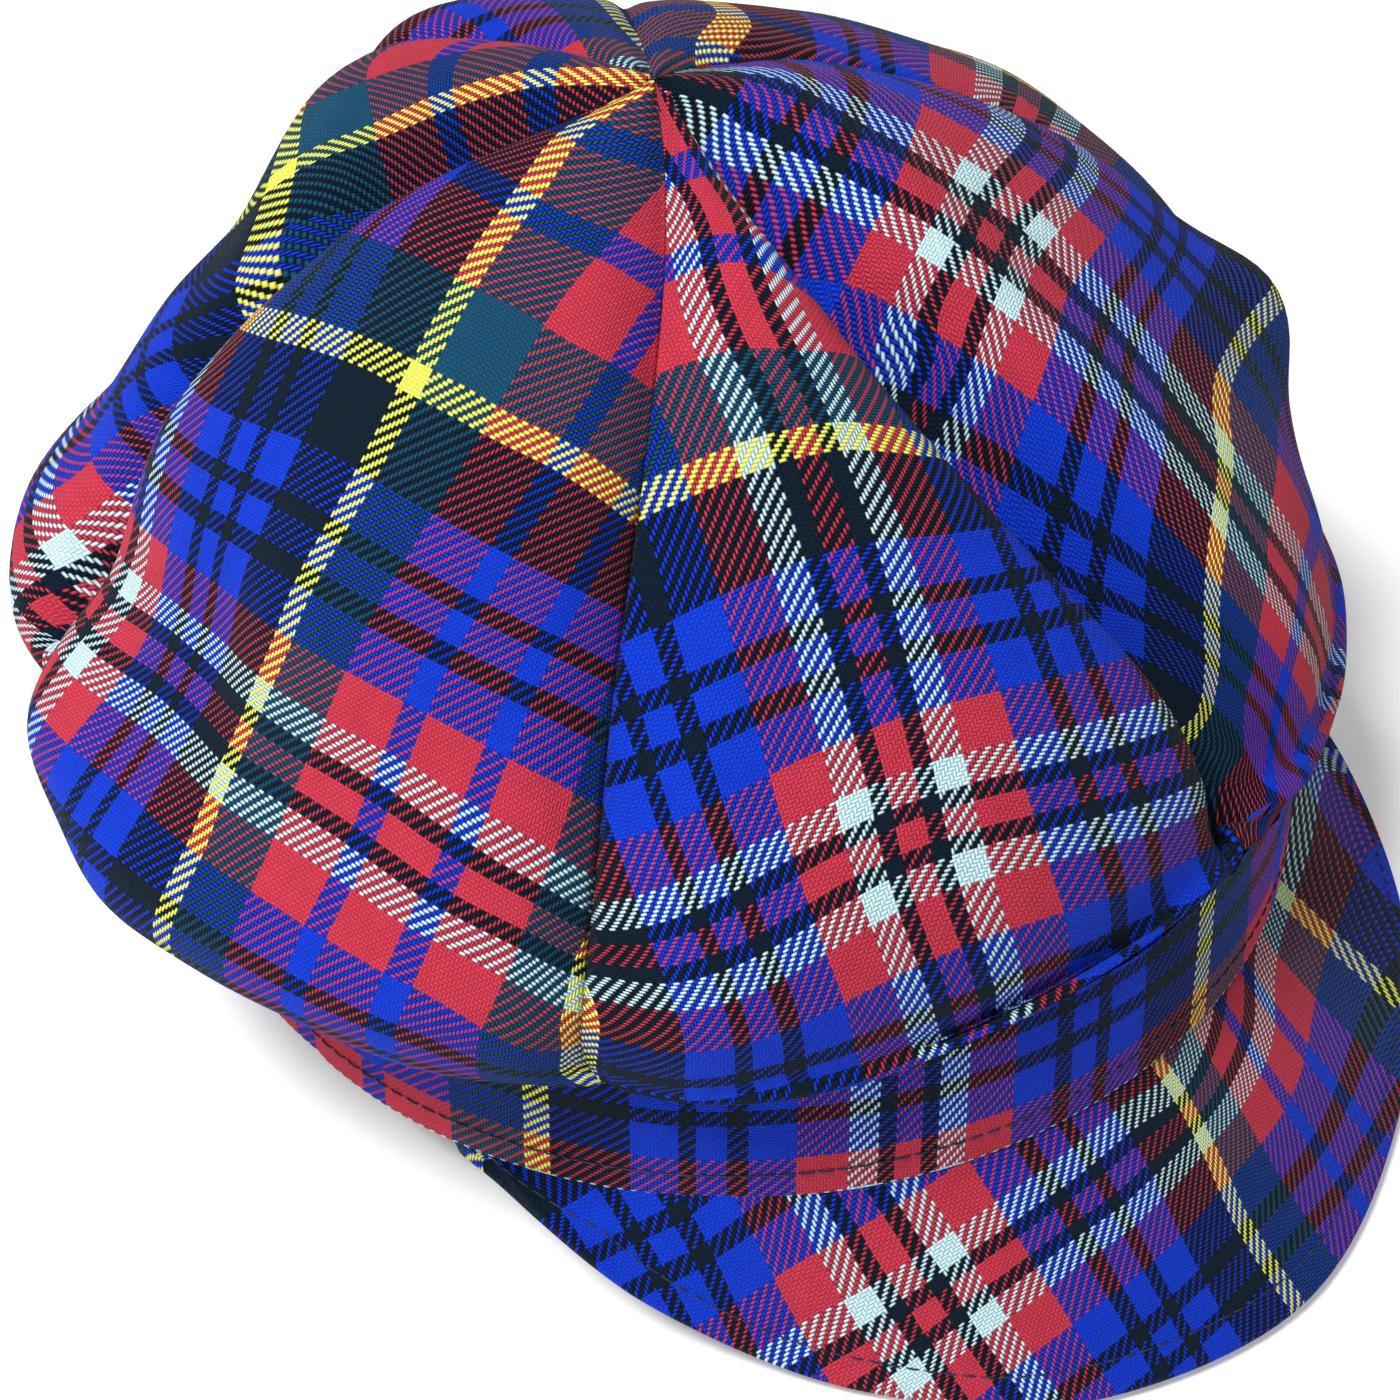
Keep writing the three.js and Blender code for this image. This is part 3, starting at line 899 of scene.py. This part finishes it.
def plain_material(name, rgb, scale, relief, settings):
    """One colour with a fine mottle and relief."""
    nodes = Nodes(name)
    mottle = nodes.noise(nodes.place(), scale, PLAIN_DETAIL)
    dark = tuple(channel * PLAIN_DARK for channel in rgb)
    nodes.link(nodes.mix(mottle, dye(dark), dye(rgb)), nodes.shader.inputs["Base Color"])
    nodes.relief(mottle, relief, PLAIN_HEIGHT)
    nodes.finish(settings)
    return nodes.material


def make_crown(rising, falling):
    for panel in PANELS:
        name = panel[0]
        grid, flat = panel_grid(panel)
        looseness = LOOSENESS if name in CLOSE_PANELS else RIM_LOOSENESS
        threads = threads_from_marks(grid, flat, CROWN_MARKS[name], looseness)
        cloth = falling if name == FALLING_PANEL else rising
        node = "crown_panel_" + name
        piece = cloth_object("crown_cloth_" + name, grid, threads, cloth, node)
        thicken(piece)


def band_profile():
    """The band's cross-section from its top, down the outside, round the hem and up the inside:
    distance out from the outside face, height, and length of cloth from the hem's outer corner."""
    radius = BAND_THICKNESS / 2
    heights = np.linspace(BAND_HEIGHT, radius, BAND_ROWS)
    outer = [(0, height, height - radius) for height in heights]
    turns = np.linspace(0, np.pi, HEM_ROWS)[1:-1]
    hem = [(-radius + radius * np.cos(t), radius - radius * np.sin(t), -radius * t) for t in turns]
    inner = [(-BAND_THICKNESS, height, -radius * np.pi - height + radius) for height in heights[::-1]]
    return np.array(outer + hem + inner)


def band_front(direction, height):
    """How fully the band flares: 1 at the hem in front, 0 at its top and behind."""
    return (1 - height / BAND_HEIGHT) * np.sqrt(np.clip(np.cos(direction), 0, 1))


def band_grid():
    """The band's points in metres, and their places on the cloth laid flat."""
    direction = np.linspace(-np.pi, np.pi, BAND_COLUMNS + 1)
    around = lengths_along(outline_point(OPENING, direction, 0, 0))
    outwards = np.stack([np.sin(direction), -np.cos(direction), 0 * direction], -1)
    rows = []
    flat = []
    for out, height, length in band_profile():
        points = outline_point(OPENING, direction, out, height)
        # No swell at the band's top and hem, or where its two ends meet behind
        swell = ripple(points, BAND_SEED) * BAND_RIPPLE * np.sin(np.pi * height / BAND_HEIGHT)
        swell *= np.sin((direction + np.pi) / 2)
        front = band_front(direction, height)
        drop = np.array([0, 0, -BAND_DROP]) * front[:, None]
        rows.append(points + outwards * (swell + BAND_FLARE * front)[:, None] + drop)
        flat.append(np.stack([around, np.full_like(around, length)], -1))
    return placed(tip(np.array(rows))), np.array(flat)


def make_band(cloth, thread):
    grid, flat = band_grid()
    places = mark_places(grid, flat, BAND_MARKS)
    slope, start = np.polyfit(places[:, 0], [mark[2] for mark in BAND_MARKS], 1)
    threads = np.stack([start + slope * flat[..., 0], BAND_HEM_THREAD + flat[..., 1] / THREAD], -1)
    cloth_object("band_cloth", grid, threads, cloth, "band")

    direction = np.linspace(-np.pi, np.pi, BAND_STITCH_POINTS, endpoint=False)
    front = band_front(direction, BAND_STITCH_HEIGHT)
    out = BAND_STITCH_LIFT + BAND_FLARE * front
    path = outline_point(OPENING, direction, out, BAND_STITCH_HEIGHT - BAND_DROP * front)
    level = outline_point(OPENING, direction, 1, 0) - outline_point(OPENING, direction, 0, 0)
    normals = unit(tip(level) - tip(0 * level))
    make_stitches("band_stitches", placed(tip(path)), normals, thread)


def peak_underside(place, out):
    """The peak's underside as the cap lies, at shares of the way round and of the way out."""
    edge_table = np.array([row[1:] for row in PEAK_EDGE], float)
    rows = np.arange(len(PEAK_EDGE))
    directions = np.interp(place * rows[-1], rows, [row[0] for row in PEAK_EDGE])
    inner = tip(outline_point(OPENING, np.radians(directions), GAP, -PEAK_INNER_DROP))
    lines = np.repeat(edge_table[:, None], place.size, 1).reshape((-1,) + place.shape + (3,))
    edge = smooth_line(lines, place)
    return inner + (edge - inner) * out[..., None]


def peak_reach(place):
    """From the band to the peak's free edge."""
    return peak_underside(place, np.ones_like(place)) - peak_underside(place, np.zeros_like(place))


def peak_surfaces(place, out):
    """The peak's upper and lower faces as the cap lies, rounded together at its edges, and normals."""
    after = peak_underside(np.minimum(place + STEP, 1), out)
    before = peak_underside(np.maximum(place - STEP, 0), out)
    outwards = peak_reach(place)
    normal = unit(np.cross(outwards, after - before))
    band_up = np.array([0, np.sin(REST_TILT), np.cos(REST_TILT)])
    direction = unit(band_up + (normal - band_up) * out[..., None])
    rise = PEAK_THICKNESS / (direction * normal).sum(-1)
    half = direction * rise[..., None] / 2
    middle = peak_underside(place, out) + half
    from_edge = (1 - out) * np.linalg.norm(outwards, axis=-1)
    from_end = np.minimum(place, 1 - place) * PEAK_ROUND
    thin = np.minimum(1, np.minimum(from_edge, from_end) / (PEAK_THICKNESS / 2))
    half = half * np.sqrt(1 - (1 - thin) ** 2)[..., None]
    return middle + half, middle - half, normal


def make_peak(cloth, thread):
    outs = 1 - (1 - np.linspace(0, 1, PEAK_ROWS + 1)) ** PEAK_CROWDING
    place, out = np.meshgrid(np.linspace(0, 1, PEAK_COLUMNS + 1), outs)
    top, bottom, _ = peak_surfaces(place, out)

    # The peak's cloth is laid flat as it is seen from above
    threads = threads_from_marks(placed(top), top[..., :2] * (1, -1), PEAK_MARKS)
    grid = placed(np.concatenate([top, bottom[::-1]]))
    threads = np.concatenate([threads, threads[::-1]])
    cloth_object("peak_cloth", grid, threads, cloth, "peak")

    along = np.linspace(*PEAK_STITCH_ENDS, PEAK_STITCH_POINTS)
    length = np.linalg.norm(peak_reach(along), axis=-1)
    inset = np.maximum(1 - PEAK_STITCH_INSET / length, LEAST_INSET)
    path, _, normals = peak_surfaces(along, inset)
    make_stitches("peak_stitches", placed(path), normals, thread)


def read_along(at, along, values):
    return np.stack([np.interp(at, along, values[:, k]) for k in range(3)], -1)


def stitch_points(start, along, path, normals):
    """The rings of points round one arched stitch that starts a length along a path."""
    at = start + np.linspace(0, STITCH_LENGTH, len(STITCH_ARCH))
    centre = read_along(at, along, path)
    normal = unit(read_along(at, along, normals))
    side = unit(np.cross(normal, centre[-1] - centre[0]))
    middle = centre + normal * np.array(STITCH_ARCH)[:, None] * MM
    turns = np.linspace(0, 2 * np.pi, STITCH_SIDES, endpoint=False)[:, None]
    offset = normal[:, None] * np.cos(turns) + side[:, None] * np.sin(turns)
    return (middle[:, None] + offset * STITCH_RADIUS * MM).reshape(-1, 3)


def stitch_faces(first):
    """One closed stitch's faces, counted from its first point."""
    faces = []
    for ring in range(len(STITCH_ARCH) - 1):
        low = first + ring * STITCH_SIDES
        high = low + STITCH_SIDES
        for k in range(STITCH_SIDES):
            after = (k + 1) % STITCH_SIDES
            faces.append((low + k, low + after, high + after, high + k))
    last = first + (len(STITCH_ARCH) - 1) * STITCH_SIDES
    faces.append(tuple(range(first + STITCH_SIDES - 1, first - 1, -1)))
    faces.append(tuple(range(last, last + STITCH_SIDES)))
    return faces


def make_stitches(name, path, normals, thread):
    """A row of short arched stitches along a path on the cloth."""
    along = lengths_along(path) / MM
    starts = np.arange(0, along[-1] - STITCH_LENGTH, STITCH_SPACING)
    points = np.concatenate([stitch_points(start, along, path, normals) for start in starts])
    size = len(STITCH_ARCH) * STITCH_SIDES
    faces = [face for stitch in range(len(starts)) for face in stitch_faces(stitch * size)]
    new_piece(name, points, faces, thread)


def make_floor():
    half = TABLE_SIDE / 2
    corners = [(-half, -half, 0), (half, -half, 0), (half, half, 0), (-half, half, 0)]
    mesh = bpy.data.meshes.new("table_top")
    mesh.from_pydata(corners, [], [(0, 1, 2, 3)])
    glow = {"Roughness": 0.9, "Emission Color": (1, 1, 1, 1), "Emission Strength": TABLE_GLOW}
    pale = plain_material("pale_table", rgb=(255, 255, 255), scale=40.0, relief=0.1, settings=glow)
    mesh.materials.append(pale)
    floor = bpy.data.objects.new("table_top", mesh)
    bpy.context.collection.objects.link(floor)


def make_light(name, place, size, power):
    light = bpy.data.lights.new(name, "AREA")
    light.shape = "DISK"
    light.size = size
    light.energy = power
    lamp = bpy.data.objects.new(name, light)
    lamp.location = place
    lamp.rotation_mode = "QUATERNION"
    lamp.rotation_quaternion = (Vector(LIGHT_TARGET) - Vector(place)).to_track_quat("-Z", "Y")
    bpy.context.collection.objects.link(lamp)


def make_studio():
    world = bpy.data.worlds.new("studio")
    world.use_nodes = True
    background = world.node_tree.nodes["Background"]
    background.inputs["Color"].default_value = (1, 1, 1, 1)
    background.inputs["Strength"].default_value = WORLD_LIGHT
    bpy.context.scene.world = world
    for name, (place, size, power) in LIGHTS.items():
        make_light(name, place, size, power)
    bpy.context.scene.view_settings.view_transform = "Standard"


def make_camera():
    data = bpy.data.cameras.new("photo_view")
    data.lens = LENS
    data.sensor_width = SENSOR
    camera = bpy.data.objects.new("photo_view", data)
    right = Vector(CAMERA_RIGHT)
    up = Vector(CAMERA_UP)
    back = right.cross(up)
    turn = Matrix((right, up, back)).transposed().to_4x4()
    camera.matrix_world = Matrix.Translation(Vector(placed(np.array(EYE)))) @ turn
    bpy.context.collection.objects.link(camera)
    bpy.context.scene.camera = camera


rising_twill = tartan("tartan_rising_twill", 1)
falling_twill = tartan("tartan_falling_twill", -1)
sewing_thread = plain_material(
    "navy_sewing_thread", rgb=(22, 30, 66), scale=3000.0, relief=0.3, settings={"Roughness": 0.6}
)
make_crown(rising_twill, falling_twill)
make_band(falling_twill, sewing_thread)
make_peak(rising_twill, sewing_thread)
make_floor()
make_studio()
make_camera()
